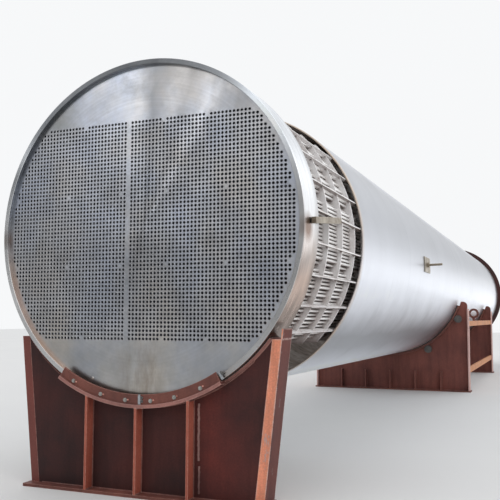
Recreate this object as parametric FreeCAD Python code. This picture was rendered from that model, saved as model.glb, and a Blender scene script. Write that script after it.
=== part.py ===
import FreeCAD, Part
import math
import os

# Shell and tube heat exchanger, drawn with its tube bundle part way into the shell.
# The shell axis runs along +Y and the drilled face of the front tubesheet looks along -Y.
# A "station" is a distance behind that face. The origin is on the floor, in the middle.

# --- tube layout -------------------------------------------------------------------
tube_pitch = 32.0            # square pitch, along X and Z
tube_outer_radius = 12.5
tube_wall = 2.0
field_half_rows = 27         # rows above and below the centre row
stated_bores = 12            # tube bores that are cut through the front tubesheet

# --- shell, tubesheets and bundle --------------------------------------------------
shell_radius = 1357.0
shell_wall = 14.0
shell_start = 1640.0         # the bundle stands out of the shell by this much
shell_end = 18080.0
weld_bevel = 6.0             # on the shell's open front edge
axis_height = 2060.0
tubesheet_thickness = 294.0
lip_depth = 38.0
lip_width = 39.0
bundle_to_shell_gap = 18.0   # radial, between support plates and shell
plate_thickness = 16.0
plate_flat_margin = 42.0     # plate above the outermost tubes
first_plate = 650.0
plate_step = 404.0
plate_count = 4
rail_count = 8               # on each side
rail_step_deg = 10.8
rail_thickness = 12.0
rail_depth = 32.0
rail_to_shell_gap = 5.0
rail_side_clearance = 0.5    # between a rail and its slot in a support plate
rail_to_bundle_gap = 6.0     # between the rails and the outermost tubes

# --- rear flange -------------------------------------------------------------------
flange_height = 115.0        # outside the shell
flange_thickness = 120.0

# --- tie bars between the front tubesheet and the bundle ---------------------------
tie_start = 96.0
tie_end = 872.0
tie_height = 48.0
tie_thickness = 36.0
tie_start_lift = 12.0        # above the axis
tie_end_drop = 21.0          # bar centre below the rail it is welded to

# --- brackets on the shell's sides -------------------------------------------------
bracket_station = 5190.0
bracket_lift_deg = 1.6
pad_length = 420.0
pad_height = 210.0
pad_thickness = 12.0
stub_radius = 16.0
stub_length = 200.0
stub_collar_radius = 34.0
stub_collar_length = 30.0

# --- steelwork shared by both supports ---------------------------------------------
fit_gap = 0.3                # between curved faces that rest on each other
cut_margin = 1.0             # how far a cutting body runs past what it cuts
web_thickness = 20.0
base_thickness = 24.0

# --- front saddle ------------------------------------------------------------------
saddle_front = 12.0          # station of the front web and posts
post_depth = 200.0
post_flange = 75.0
post_steel = 11.0
post_top_drop = 854.0        # below the shell axis
post_corner_inset = 4.6      # inner top corner inside the bearing plate's outer face
post_lean = 137.0            # foot of a post inside its top
post_clearance_deg = 0.2     # between a post and the end of the bearing plate
front_lining = 6.0
front_bearing = 26.0
shelf_reach = 88.0           # bearing plate in front of the web
shelf_half_angle = 31.5
strip_thickness = 12.0
strip_setback = 14.0         # behind the shelf's front edge
strip_cover = 71.0           # strip reaches this far inside the tubesheet's edge
strip_joint_gap = 14.0
strip_joint_offset = 24.0    # joint lies right of the centre line
front_rib_spacing = 450.0
front_rib_count = 3
tab_height = 76.0
tab_length = 190.0
tab_thickness = 12.0

# --- rear cradle -------------------------------------------------------------------
cradle_front = 9050.0
cradle_length = 5190.0       # front face of one plate to front face of the other
cradle_side_margin = 61.7    # plate edges outside the bearing plate
ear_top_drop = 384.0         # below the shell axis
ear_round = 80.0
cradle_lining = 14.0
cradle_bearing = 26.0
bearing_width = 160.0
cradle_flange_width = 200.0
cradle_flange_drop = 520.0   # flange tops below the shell axis
cradle_rib_spacing = 480.0
cradle_rib_count = 5
cradle_rib_share = 0.54      # of the plate's height at the centre line
cradle_rib_depth = 110.0
rib_thickness = 20.0
boss_radius = 70.0
boss_length = 45.0
boss_offset = 72.0           # outside the cradle plate's arc
boss_angles = (28.8, 60.5)   # below horizontal, on each side
beam_height = 100.0
beam_width = 50.0
beam_steel = 8.0
upper_beam_drop = 794.0
lower_beam_height = 388.0    # above the floor
eye_station = 10390.0
eye_radius = 100.0
eye_hole_radius = 58.0
eye_rise = 149.0             # hole centre above the upper beam
eye_thickness = 24.0

# --- values that follow ------------------------------------------------------------
tube_bore_radius = tube_outer_radius - tube_wall
shell_inner_radius = shell_radius - shell_wall
rail_outer_radius = shell_inner_radius - rail_to_shell_gap
rail_inner_radius = rail_outer_radius - rail_depth
bundle_radius = rail_inner_radius - rail_to_bundle_gap
bundle_half_height = field_half_rows * tube_pitch + tube_outer_radius
field_radius = bundle_radius - tube_outer_radius
stated_bore_step = int(2.0 * field_radius / tube_pitch / (stated_bores - 1))
plate_radius = shell_inner_radius - bundle_to_shell_gap
plate_half_height = bundle_half_height + plate_flat_margin
rear_face = shell_end + tubesheet_thickness
flange_radius = shell_radius + flange_height
saddle_rear = saddle_front + post_depth
shelf_front = saddle_front - shelf_reach
front_bearing_inner = shell_radius + fit_gap + front_lining
front_bearing_outer = front_bearing_inner + front_bearing
strip_inner_radius = shell_radius - strip_cover
post_top = axis_height - post_top_drop
post_corner_reach = math.sqrt((front_bearing_outer - post_corner_inset) ** 2 - post_top_drop ** 2)
post_top_reach = post_corner_reach + post_flange
post_foot_reach = post_top_reach - post_lean
cradle_bearing_inner = shell_radius + fit_gap + cradle_lining
cradle_bearing_outer = cradle_bearing_inner + cradle_bearing
cradle_reach = cradle_bearing_outer + cradle_side_margin
cradle_rear = cradle_front + cradle_length
cradle_rib_height = cradle_rib_share * (axis_height - cradle_bearing_outer - base_thickness)
upper_beam_height = axis_height - upper_beam_drop
middle_station = (shelf_front + rear_face + lip_depth) / 2.0


def along(station):
    """Y of a station in the part's own frame."""
    return station - middle_station


def cylinder(radius, start, end, x=0.0, z=axis_height):
    """Round bar along Y between two stations."""
    foot = FreeCAD.Vector(x, along(start), z)
    return Part.makeCylinder(radius, end - start, foot, FreeCAD.Vector(0, 1, 0))


def ring(inner, outer, start, end):
    return cylinder(outer, start, end).cut(cylinder(inner, start - cut_margin, end + cut_margin))


def box(x0, x1, start, end, z0, z1):
    corner = FreeCAD.Vector(x0, along(start), z0)
    return Part.makeBox(x1 - x0, end - start, z1 - z0, corner)


def slab(outline, start, end):
    """Plate across the shell: an outline of (x, z) points from one station to another."""
    points = [FreeCAD.Vector(x, along(start), z) for x, z in outline]
    face = Part.Face(Part.makePolygon(points + points[:1]))
    return face.extrude(FreeCAD.Vector(0, end - start, 0))


def on_circle(radius, degrees):
    """(x, z) on a circle about the shell axis, counted from straight down to the right."""
    angle = math.radians(degrees)
    return radius * math.sin(angle), axis_height - radius * math.cos(angle)


def wedge(reach, from_deg, to_deg, start, end):
    """Sector about the shell axis that trims rings to an arc."""
    middle = (from_deg + to_deg) / 2.0
    outline = [(0.0, axis_height)]
    for angle in (from_deg, middle, to_deg):
        outline.append(on_circle(reach, angle))
    return slab(outline, start, end)


def arc_plate(inner, outer, from_deg, to_deg, start, end):
    clear_of_ring = 2.0 * outer / math.cos(math.radians((to_deg - from_deg) / 2.0))
    return ring(inner, outer, start, end).common(wedge(clear_of_ring, from_deg, to_deg, start, end))


def mirrored(shape):
    """The same piece on the other side of the centre line."""
    return shape.mirror(FreeCAD.Vector(0, 0, 0), FreeCAD.Vector(1, 0, 0))


def group(shapes):
    return Part.makeCompound(shapes)


def flat_topped(radius, half_height, start, end):
    """Disc cut off flat above and below, as the tube field is."""
    z0 = axis_height - half_height
    z1 = axis_height + half_height
    return cylinder(radius, start, end).common(box(-radius, radius, start, end, z0, z1))


def stated_bore_columns():
    first = -stated_bore_step * (stated_bores - 1) / 2.0
    return [(first + stated_bore_step * index) * tube_pitch for index in range(stated_bores)]


def front_tubesheet():
    disc = cylinder(shell_radius, -lip_depth, tubesheet_thickness)
    recess = cylinder(shell_radius - lip_width, -lip_depth - cut_margin, 0.0)
    bores = []
    for x in stated_bore_columns():
        bores.append(cylinder(tube_bore_radius, -cut_margin, tubesheet_thickness + cut_margin, x=x))
    return disc.cut(recess).cut(group(bores))


def rear_tubesheet():
    disc = cylinder(shell_radius, shell_end, rear_face + lip_depth)
    recess = cylinder(shell_radius - lip_width, rear_face, rear_face + lip_depth + cut_margin)
    return disc.cut(recess)


def shell():
    tube = ring(shell_inner_radius, shell_radius, shell_start, shell_end)
    bevel_tip = shell_radius - weld_bevel
    bevel_end = shell_start + weld_bevel
    foot = FreeCAD.Vector(0, along(shell_start), axis_height)
    cone = Part.makeCone(bevel_tip, shell_radius, weld_bevel, foot, FreeCAD.Vector(0, 1, 0))
    corner = cylinder(shell_radius + cut_margin, shell_start - cut_margin, bevel_end).cut(cone)
    return tube.cut(corner)


def plate_stations():
    return [first_plate + plate_step * index for index in range(plate_count)]


def tube_bundle():
    """The packed tubes between one plate and the next, as flat-topped blocks."""
    starts = [tubesheet_thickness] + [station + plate_thickness for station in plate_stations()]
    ends = plate_stations() + [shell_end]
    return group([flat_topped(bundle_radius, bundle_half_height, a, b) for a, b in zip(starts, ends)])


def rail_angles():
    first = -rail_step_deg * (rail_count - 1) / 2.0
    return [first + rail_step_deg * index for index in range(rail_count)]


def rail(angle, side_clearance, start, end):
    """Flat bar on edge, standing out from the bundle's right side."""
    half = rail_thickness / 2.0 + side_clearance
    bar = box(rail_inner_radius, rail_outer_radius, start, end, -half, half)
    bar.rotate(FreeCAD.Vector(0, 0, 0), FreeCAD.Vector(0, 1, 0), -angle)
    bar.translate(FreeCAD.Vector(0, 0, axis_height))
    return bar


def slide_rails():
    return group([rail(angle, 0.0, tubesheet_thickness, shell_end) for angle in rail_angles()])


def support_plate(station):
    end = station + plate_thickness
    plate = flat_topped(plate_radius, plate_half_height, station, end)
    slots = []
    for angle in rail_angles():
        slots.append(rail(angle, rail_side_clearance, station - cut_margin, end + cut_margin))
    return plate.cut(group(slots)).cut(mirrored(group(slots)))


def rear_flange():
    return ring(shell_radius + fit_gap, flange_radius, shell_end - flange_thickness, shell_end)


def tie_bar():
    """Bar welded to the tubesheet's rear corner and to the rail just above the axis."""
    rail_x, rail_z = on_circle(rail_outer_radius, 90.0 + rail_step_deg / 2.0)
    slope = (shell_radius - rail_x) / (tie_end - tubesheet_thickness)
    inner_start = shell_radius + slope * (tubesheet_thickness - tie_start) + fit_gap
    inner_end = rail_x + fit_gap
    low_start = axis_height + tie_start_lift - tie_height / 2.0
    low_end = rail_z - tie_end_drop - tie_height / 2.0
    y0 = along(tie_start)
    y1 = along(tie_end)
    corners = [
        FreeCAD.Vector(inner_start, y0, low_start),
        FreeCAD.Vector(inner_start + tie_thickness, y0, low_start),
        FreeCAD.Vector(inner_end + tie_thickness, y1, low_end),
        FreeCAD.Vector(inner_end, y1, low_end),
    ]
    face = Part.Face(Part.makePolygon(corners + corners[:1]))
    return face.extrude(FreeCAD.Vector(0, 0, tie_height))


def shell_bracket():
    """Curved doubler pad with a round stub standing straight out of it."""
    pad_end = bracket_station + pad_length / 2.0
    pad_start = bracket_station - pad_length / 2.0
    outer = shell_radius + fit_gap + pad_thickness
    half = pad_height / 2.0
    pad = ring(shell_radius + fit_gap, outer, pad_start, pad_end)
    pad = pad.common(box(0.0, outer, pad_start, pad_end, axis_height - half, axis_height + half))
    foot = FreeCAD.Vector(outer - pad_thickness / 2.0, along(bracket_station), axis_height)
    outwards = FreeCAD.Vector(1, 0, 0)
    stub = Part.makeCylinder(stub_radius, stub_length + pad_thickness / 2.0, foot, outwards)
    collar = Part.makeCylinder(stub_collar_radius, stub_collar_length, foot, outwards)
    bracket = pad.fuse(stub).fuse(collar)
    bracket.rotate(FreeCAD.Vector(0, 0, axis_height), FreeCAD.Vector(0, 1, 0), -bracket_lift_deg)
    return bracket


def post_face(height):
    """Distance of a post's outer face from the centre line, at a height above the floor."""
    return post_foot_reach + post_lean * height / post_top


def leaning_plate(inside, outside, start, end, z0, z1):
    """Plate that follows a post's lean, between two distances inside its outer face."""
    outline = [
        (post_face(z0) - outside, z0),
        (post_face(z0) - inside, z0),
        (post_face(z1) - inside, z1),
        (post_face(z1) - outside, z1),
    ]
    return slab(outline, start, end)


def front_post():
    """Channel post: the back of the channel faces out, its flanges face front and rear."""
    foot = base_thickness
    front_end = saddle_front + post_steel
    back = leaning_plate(0.0, post_steel, saddle_front, saddle_rear, foot, post_top)
    front = leaning_plate(0.0, post_flange, saddle_front, front_end, foot, post_top)
    rear = leaning_plate(0.0, post_flange, saddle_rear - post_steel, saddle_rear, foot, post_top)
    return back.fuse(front).fuse(rear).removeSplitter()


def packing_tab():
    """Small plate left standing on the right-hand post, beside the tubesheet."""
    start = saddle_front + post_steel
    return leaning_plate(0.0, tab_thickness, start, start + tab_length, post_top, post_top + tab_height)


def front_web(start):
    """Plate between the two posts, hollowed to carry the bearing plate."""
    half_foot = post_face(base_thickness) - post_flange
    half_top = post_face(post_top) - post_flange
    outline = [
        (-half_foot, base_thickness),
        (half_foot, base_thickness),
        (half_top, post_top),
        (-half_top, post_top),
    ]
    end = start + web_thickness
    hollow = cylinder(front_bearing_outer, start - cut_margin, end + cut_margin)
    return slab(outline, start, end).cut(hollow)


def bearing_half_angle():
    """Angle from straight down to where the bearing plate meets a post's inner edge."""
    return math.degrees(math.atan2(post_corner_reach, post_top_drop)) - post_clearance_deg


def front_bearing_plate():
    inner = front_bearing_inner
    outer = front_bearing_outer
    half = bearing_half_angle()
    seat = arc_plate(inner, outer, -half, half, saddle_front, saddle_rear)
    shelf = arc_plate(inner, outer, -shelf_half_angle, shelf_half_angle, shelf_front, saddle_front)
    return seat.fuse(shelf).removeSplitter()


def front_lining_sheet():
    half = bearing_half_angle()
    return arc_plate(shell_radius + fit_gap, front_bearing_inner, -half, half, saddle_front, saddle_rear)


def retaining_strips():
    """Left and right halves of the arc strip that stands up in front of the lip."""
    start = shelf_front + strip_setback
    end = start + strip_thickness
    joint = math.degrees(math.asin(strip_joint_offset / front_bearing_inner))
    gap = math.degrees(strip_joint_gap / front_bearing_inner) / 2.0
    left = arc_plate(strip_inner_radius, front_bearing_inner, -shelf_half_angle, joint - gap, start, end)
    right = arc_plate(strip_inner_radius, front_bearing_inner, joint + gap, shelf_half_angle, start, end)
    return left, right


def front_ribs():
    """Uprights under the shelf, between the web and the shelf's front edge."""
    first = -front_rib_spacing * (front_rib_count - 1) / 2.0
    half = rib_thickness / 2.0
    hollow = cylinder(front_bearing_outer, shelf_front - cut_margin, saddle_front + cut_margin)
    ribs = []
    for index in range(front_rib_count):
        x = first + front_rib_spacing * index
        rib = box(x - half, x + half, shelf_front, saddle_front, base_thickness, axis_height)
        ribs.append(rib.cut(hollow))
    return group(ribs)


def front_base():
    reach = post_face(0.0) + web_thickness
    return box(-reach, reach, shelf_front, saddle_rear, 0.0, base_thickness)


def cradle_plate(start):
    """Cross plate with an ear at each top corner, hollowed to carry the bearing plate."""
    end = start + web_thickness
    top = axis_height - ear_top_drop
    plate = box(-cradle_reach, cradle_reach, start, end, base_thickness, top)
    top_corners = []
    for edge in plate.Edges:
        runs_through_plate = edge.BoundBox.YLength > web_thickness / 2.0
        if runs_through_plate and edge.BoundBox.ZMin > base_thickness + ear_round:
            top_corners.append(edge)
    hollow = cylinder(cradle_bearing_outer, start - cut_margin, end + cut_margin)
    return plate.makeFillet(ear_round, top_corners).cut(hollow)


def cradle_half_angle():
    """The bearing plate stops where its arc meets the ears' inner corners."""
    return math.degrees(math.acos((ear_top_drop + ear_round) / cradle_bearing_outer))


def bearing_start(plate_start):
    return plate_start + (web_thickness - bearing_width) / 2.0


def cradle_bearing_plate(plate_start):
    start = bearing_start(plate_start)
    end = start + bearing_width
    half = cradle_half_angle()
    return arc_plate(cradle_bearing_inner, cradle_bearing_outer, -half, half, start, end)


def cradle_lining_sheet(plate_start):
    start = bearing_start(plate_start)
    end = start + bearing_width
    half = cradle_half_angle()
    return arc_plate(shell_radius + fit_gap, cradle_bearing_inner, -half, half, start, end)


def flange_start(plate_start):
    return plate_start + (web_thickness - cradle_flange_width) / 2.0


def cradle_flanges():
    """Upright plates that close the right-hand edges of both cross plates."""
    top = axis_height - cradle_flange_drop
    flanges = []
    for plate_start in (cradle_front, cradle_rear):
        start = flange_start(plate_start)
        end = start + cradle_flange_width
        flanges.append(box(cradle_reach, cradle_reach + web_thickness, start, end, base_thickness, top))
    return group(flanges)


def cradle_ribs(plate_start, direction):
    """Short uprights between a cross plate and its base, on the cradle's outer side."""
    first = -cradle_rib_spacing * (cradle_rib_count - 1) / 2.0
    start = plate_start - cradle_rib_depth if direction < 0 else plate_start + web_thickness
    end = start + cradle_rib_depth
    half = rib_thickness / 2.0
    top = base_thickness + cradle_rib_height
    ribs = []
    for index in range(cradle_rib_count):
        x = first + cradle_rib_spacing * index
        ribs.append(box(x - half, x + half, start, end, base_thickness, top))
    return group(ribs)


def cradle_bosses(plate_start, direction):
    start = plate_start - boss_length if direction < 0 else plate_start + web_thickness
    end = start + boss_length
    bosses = []
    for angle in boss_angles:
        x, z = on_circle(cradle_bearing_outer + boss_offset, 90.0 - angle)
        bosses.append(cylinder(boss_radius, start, end, x=x, z=z))
        bosses.append(cylinder(boss_radius, start, end, x=-x, z=z))
    return group(bosses)


def cradle_base(plate_start):
    reach = cradle_reach + 2.0 * web_thickness
    start = plate_start - cradle_rib_depth
    end = plate_start + web_thickness + cradle_rib_depth
    return box(-reach, reach, start, end, 0.0, base_thickness)


def cradle_beam(height):
    """Channel between the two cross plates, its back facing out."""
    start = cradle_front + web_thickness
    z0 = height - beam_height / 2.0
    z1 = height + beam_height / 2.0
    inside = cradle_reach - beam_width
    back = box(cradle_reach - beam_steel, cradle_reach, start, cradle_rear, z0, z1)
    lower = box(inside, cradle_reach, start, cradle_rear, z0, z0 + beam_steel)
    upper = box(inside, cradle_reach, start, cradle_rear, z1 - beam_steel, z1)
    return back.fuse(lower).fuse(upper).removeSplitter()


def lifting_eye():
    """Ring plate on a short stem, standing on the upper beam across the shell axis."""
    x = cradle_reach - beam_width / 2.0
    beam_top = upper_beam_height + beam_height / 2.0
    z = beam_top + eye_rise
    end = eye_station + eye_thickness
    disc = cylinder(eye_radius, eye_station, end, x=x, z=z)
    stem = box(x - beam_width / 2.0, x + beam_width / 2.0, eye_station, end, beam_top, z)
    hole = cylinder(eye_hole_radius, eye_station - cut_margin, end + cut_margin, x=x, z=z)
    return disc.fuse(stem).cut(hole).removeSplitter()


def build():
    strip_left, strip_right = retaining_strips()
    nodes = {
        "front_tubesheet": front_tubesheet(),
        "rear_tubesheet": rear_tubesheet(),
        "shell": shell(),
        "rear_flange": rear_flange(),
        "tube_bundle": tube_bundle(),
        "slide_rails_right": slide_rails(),
        "slide_rails_left": mirrored(slide_rails()),
        "tie_bar_right": tie_bar(),
        "tie_bar_left": mirrored(tie_bar()),
        "shell_bracket_right": shell_bracket(),
        "shell_bracket_left": mirrored(shell_bracket()),
        "front_post_right": front_post(),
        "front_post_left": mirrored(front_post()),
        "packing_tab": packing_tab(),
        "front_saddle_web": front_web(saddle_front),
        "front_saddle_rear_web": front_web(saddle_rear - web_thickness),
        "front_bearing_plate": front_bearing_plate(),
        "front_lining": front_lining_sheet(),
        "retaining_strip_left": strip_left,
        "retaining_strip_right": strip_right,
        "front_saddle_ribs": front_ribs(),
        "front_saddle_base": front_base(),
        "cradle_flanges_right": cradle_flanges(),
        "cradle_flanges_left": mirrored(cradle_flanges()),
        "cradle_upper_beam_right": cradle_beam(upper_beam_height),
        "cradle_upper_beam_left": mirrored(cradle_beam(upper_beam_height)),
        "cradle_lower_beam_right": cradle_beam(lower_beam_height),
        "cradle_lower_beam_left": mirrored(cradle_beam(lower_beam_height)),
        "lifting_eyes": group([lifting_eye(), mirrored(lifting_eye())]),
    }
    for number, station in enumerate(plate_stations(), start=1):
        nodes["support_plate_%d" % number] = support_plate(station)
    for name, station, direction in (("front", cradle_front, -1), ("rear", cradle_rear, 1)):
        nodes["cradle_%s_plate" % name] = cradle_plate(station)
        nodes["cradle_%s_bearing" % name] = cradle_bearing_plate(station)
        nodes["cradle_%s_lining" % name] = cradle_lining_sheet(station)
        nodes["cradle_%s_ribs" % name] = cradle_ribs(station, direction)
        nodes["cradle_%s_bosses" % name] = cradle_bosses(station, direction)
        nodes["cradle_%s_base" % name] = cradle_base(station)
    return nodes


os.makedirs("parts", exist_ok=True)
for node, shape in build().items():
    shape.exportStep("parts/%s.step" % node)
    print(node, len(shape.Solids), "solids, valid" if shape.isValid() else "solids, NOT valid")
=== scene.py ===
import math
import random

import bpy
import mathutils
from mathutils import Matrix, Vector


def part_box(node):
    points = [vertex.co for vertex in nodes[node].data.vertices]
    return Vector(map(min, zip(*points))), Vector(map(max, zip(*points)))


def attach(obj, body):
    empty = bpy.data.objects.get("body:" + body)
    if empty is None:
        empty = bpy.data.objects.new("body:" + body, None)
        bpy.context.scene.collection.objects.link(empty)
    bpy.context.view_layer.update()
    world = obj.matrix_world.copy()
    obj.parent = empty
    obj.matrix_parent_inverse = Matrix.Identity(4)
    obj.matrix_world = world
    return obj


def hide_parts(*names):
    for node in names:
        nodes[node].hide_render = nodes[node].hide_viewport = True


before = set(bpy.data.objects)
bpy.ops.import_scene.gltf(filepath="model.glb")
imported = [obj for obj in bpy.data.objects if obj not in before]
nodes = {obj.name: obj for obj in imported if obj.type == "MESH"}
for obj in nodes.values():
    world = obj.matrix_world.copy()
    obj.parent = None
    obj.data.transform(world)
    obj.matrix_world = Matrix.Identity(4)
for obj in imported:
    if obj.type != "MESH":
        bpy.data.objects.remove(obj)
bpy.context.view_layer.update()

scene = bpy.context.scene
print("frame loaded,", len(nodes), "nodes")


# where things are, all from the frame
sheetLow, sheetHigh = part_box("front_tubesheet")
rearLow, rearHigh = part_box("rear_tubesheet")
shellLow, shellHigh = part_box("shell")

layout = {
    "pitch": 0.032,           # square pitch of the tubes
    "tubeRadius": 0.0125,
    "boreRadius": 0.0105,
    "lipDepth": 0.038,        # rim standing proud of the drilled face
    "lipWidth": 0.039,
    "fieldRadius": 40.23,     # in pitches, holds every tube centre
    "columns": 80,            # in the longest row
    "rows": 27,               # above and below the axis row
    "endRowReach": 28.6,      # top and bottom rows stop here
    "laneColumn": -4.5,       # the one column without tubes
    "tieRows": {27: (-17.5, 5.5, 17.5), 9: (-38.5, -22.5, -6.5, 6.5, 22.5, 38.5)},
}
pitch = layout["pitch"]
axisZ = (shellLow.z + shellHigh.z) / 2
outerRadius = (shellHigh.z - shellLow.z) / 2
faceRadius = outerRadius - layout["lipWidth"]
frontFace = sheetLow.y + layout["lipDepth"]
rearFace = rearHigh.y - layout["lipDepth"]


def newPiece(name, verts, faces, look, slotName, smooth=None):
    mesh = bpy.data.meshes.new(name)
    mesh.from_pydata(verts, [], faces)
    mesh.validate()
    piece = bpy.data.objects.new(name, mesh)
    scene.collection.objects.link(piece)
    mesh.materials.append(finish[look])
    if smooth:
        mesh.shade_smooth()
        mesh.set_sharp_from_angle(angle=math.radians(smooth))
    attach(piece, "root")
    return piece


def aroundAxis(radius, degrees):
    # x and z on a circle about the shell axis, counted from straight down to the right
    angle = math.radians(degrees)
    return radius * math.sin(angle), axisZ - radius * math.cos(angle)


def lathe(profile, segments=256):
    # profile is a list of (y, radius); it's turned about the shell axis
    verts = []
    faces = []
    rows = []
    for y, radius in profile:
        if radius == 0:
            rows.append([len(verts)] * segments)
            verts.append((0, y, axisZ))
            continue
        start = len(verts)
        for k in range(segments):
            x, z = aroundAxis(radius, 360 * k / segments)
            verts.append((x, y, z))
        rows.append([start + k for k in range(segments)])
    for a, b in zip(rows, rows[1:]):
        for k in range(segments):
            n = (k + 1) % segments
            corners = []
            for v in (a[k], a[n], b[n], b[k]):
                if v not in corners:
                    corners.append(v)
            faces.append(corners)
    return verts, faces


def merged(parts):
    verts = []
    faces = []
    for partVerts, partFaces in parts:
        base = len(verts)
        verts += partVerts
        faces += [[base + v for v in face] for face in partFaces]
    return verts, faces


def bands(levels, sides, base=0, closed=False):
    # faces between rings that follow one another, each of as many points as there are sides
    faces = []
    for level in range(levels if closed else levels - 1):
        a, b = base + level * sides, base + (level + 1) % levels * sides
        faces += [[a + k, a + (k + 1) % sides, b + (k + 1) % sides, b + k] for k in range(sides)]
    return faces


def blockMesh(low, high):
    x0, y0, z0 = low
    x1, y1, z1 = high
    verts = [(x, y, z) for z in (z0, z1) for y in (y0, y1) for x in (x0, x1)]
    faces = [(0, 2, 3, 1), (4, 5, 7, 6), (0, 1, 5, 4), (2, 6, 7, 3), (0, 4, 6, 2), (1, 3, 7, 5)]
    return verts, [list(face) for face in faces]


white = (1, 1, 1, 1)


def nodeAdder(tree):
    def add(kind, inputs=None, **settings):
        node = tree.nodes.new("ShaderNode" + kind)
        for key, value in settings.items():
            setattr(node, key, value)
        for key, value in (inputs or {}).items():
            if isinstance(value, bpy.types.NodeSocket):
                tree.links.new(value, node.inputs[key])
            else:
                node.inputs[key].default_value = value
        return node
    return add


def startMaterial(name, **sockets):
    material = bpy.data.materials.new(name)
    material.use_nodes = True
    tree = material.node_tree
    shader = tree.nodes["Principled BSDF"]
    for key, value in sockets.items():
        shader.inputs[key.replace("_", " ")].default_value = value

    def plug(value, socket):
        tree.links.new(value, shader.inputs[socket])

    return material, nodeAdder(tree), plug


def calc(add, operation, a, b=0.0):
    return add("Math", {0: a, 1: b}, operation=operation).outputs[0]


def times(add, a, b):
    return calc(add, "MULTIPLY", a, b)


def rescale(add, value, low, high, newLow=0.0, newHigh=1.0):
    node = add("MapRange", {"Value": value, "From Min": low, "From Max": high,
                            "To Min": newLow, "To Max": newHigh})
    return node.outputs["Result"]


def blendColour(add, factor, a, b, blend="MIX"):
    node = add("Mix", {0: factor, 6: a, 7: b}, data_type="RGBA", blend_type=blend)
    return node.outputs[2]


def toneRamp(add, value, stops):
    # stops are (value, tone), a tone being a grey or a colour
    low, high = stops[0][0], stops[-1][0]
    ramp = add("ValToRGB", {"Fac": rescale(add, value, low, high)})
    elements = ramp.color_ramp.elements
    for number, (place, tone) in enumerate(stops):
        if number in (0, len(stops) - 1):
            element = elements[0 if number == 0 else len(elements) - 1]
        else:
            element = elements.new((place - low) / (high - low))
        element.color = tone if isinstance(tone, tuple) else (tone, tone, tone, 1)
    return ramp.outputs["Color"]


def laid(add, base, colour, mask, low=0.35, high=0.65, most=1.0):
    # colour over base, none where the mask is low and most where it's high
    return blendColour(add, rescale(add, mask, low, high, 0.0, most), base, colour)


def tinted(add, colour, tint):
    return blendColour(add, 1.0, colour, tint, "MULTIPLY")


def toned(add, colour, value, stops):
    return tinted(add, colour, toneRamp(add, value, stops))


def noise(add, where, scale, detail=4.0, roughness=0.55):
    # a scale along x, y and z stretches the pattern
    if isinstance(scale, tuple):
        where = add("Mapping", {"Vector": where, "Scale": scale}).outputs["Vector"]
        scale = 1.0
    node = add("TexNoise", {"Vector": where, "Scale": scale, "Detail": detail, "Roughness": roughness})
    return node.outputs["Fac"]


def objectPlace(add):
    return add("TexCoord").outputs["Object"]


def axisPlace(add):
    return add("Mapping", {"Vector": objectPlace(add), "Location": (0, 0, -axisZ)}).outputs["Vector"]


def fromAxis(add):
    # position from the shell axis, whole and split, its distance from the axis and the angle round it
    moved = axisPlace(add)
    flat = add("VectorMath", {0: moved, 1: (1, 0, 1)}, operation="MULTIPLY").outputs[0]
    radius = add("VectorMath", {0: flat}, operation="LENGTH").outputs["Value"]
    x, y, z = add("SeparateXYZ", {0: moved}).outputs
    return moved, (x, y, z), radius, calc(add, "ARCTAN2", x, z)


def inDegrees(add, angle):
    return times(add, angle, 180 / math.pi)


def facing(add, axis, low=0.4, high=0.8):
    # 1 where the surface looks along that axis, whichever way
    normal = add("SeparateXYZ", {0: add("NewGeometry").outputs["Normal"]})
    return rescale(add, calc(add, "ABSOLUTE", normal.outputs[axis]), low, high)


def addBump(add, plug, height, strength, distance):
    node = add("Bump", {"Height": height, "Strength": strength, "Distance": distance})
    plug(node.outputs[0], "Normal")


def edgeMask(add, radius):
    # 1 along hard edges and 0 on flats
    rounded = add("Bevel", {"Radius": radius}, samples=4).outputs[0]
    flat = add("NewGeometry").outputs["Normal"]
    dot = add("VectorMath", {0: rounded, 1: flat}, operation="DOT_PRODUCT").outputs["Value"]
    return rescale(add, dot, 0.999, 0.93)


def wornEdges(add, base, colour, width, most):
    return blendColour(add, times(add, edgeMask(add, width), most), base, colour)


def finishOff(add, plug, base, wear, roughness, height, strength, distance):
    # colour, a roughness that follows the wear, and bump
    plug(base, "Base Color")
    plug(rescale(add, wear, 0.3, 0.7, *roughness), "Roughness")
    addBump(add, plug, height, strength, distance)


def alongTurning(add, plug):
    # brushed the way the lathe or the rolls went
    plug(add("Tangent", direction_type="RADIAL", axis="Y").outputs[0], "Tangent")


def overhead(add, reach):
    # 0 under a ledge, 1 where the sky is open above
    normal = add("NewGeometry").outputs["Normal"]
    leaned = add("VectorMath", {0: normal, 1: (0, 0, 1.6)}, operation="ADD").outputs[0]
    upwards = add("VectorMath", {0: leaned}, operation="NORMALIZE").outputs[0]
    return add("AmbientOcclusion", {"Distance": reach, "Normal": upwards}, samples=6).outputs["AO"]


faceLook = {
    # painted highlight and reflection in fan shapes where turning marks catch the light, (degrees from
    # straight up, tone)
    "paintedSheenFans": [(-180, 0.59), (-158, 0.50), (-60, 0.50), (-44, 0.48), (-37, 0.54), (-31, 0.66), (-22, 0.72),
             (-14, 0.76), (-7, 0.86), (-3, 0.82), (0.5, 0.62), (4.5, 0.42), (8, 0.52), (12.5, 0.72),
             (16, 0.70), (21, 0.58), (25, 0.72), (31, 1.0), (36, 0.62), (42, 0.50), (60, 0.56),
             (120, 0.47), (150, 0.48), (165, 0.57), (180, 0.59)],
    "coolTint": (0.955, 0.985, 1.06, 1),
    "warmTint": (1.01, 1.0, 0.985, 1),
}


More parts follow.
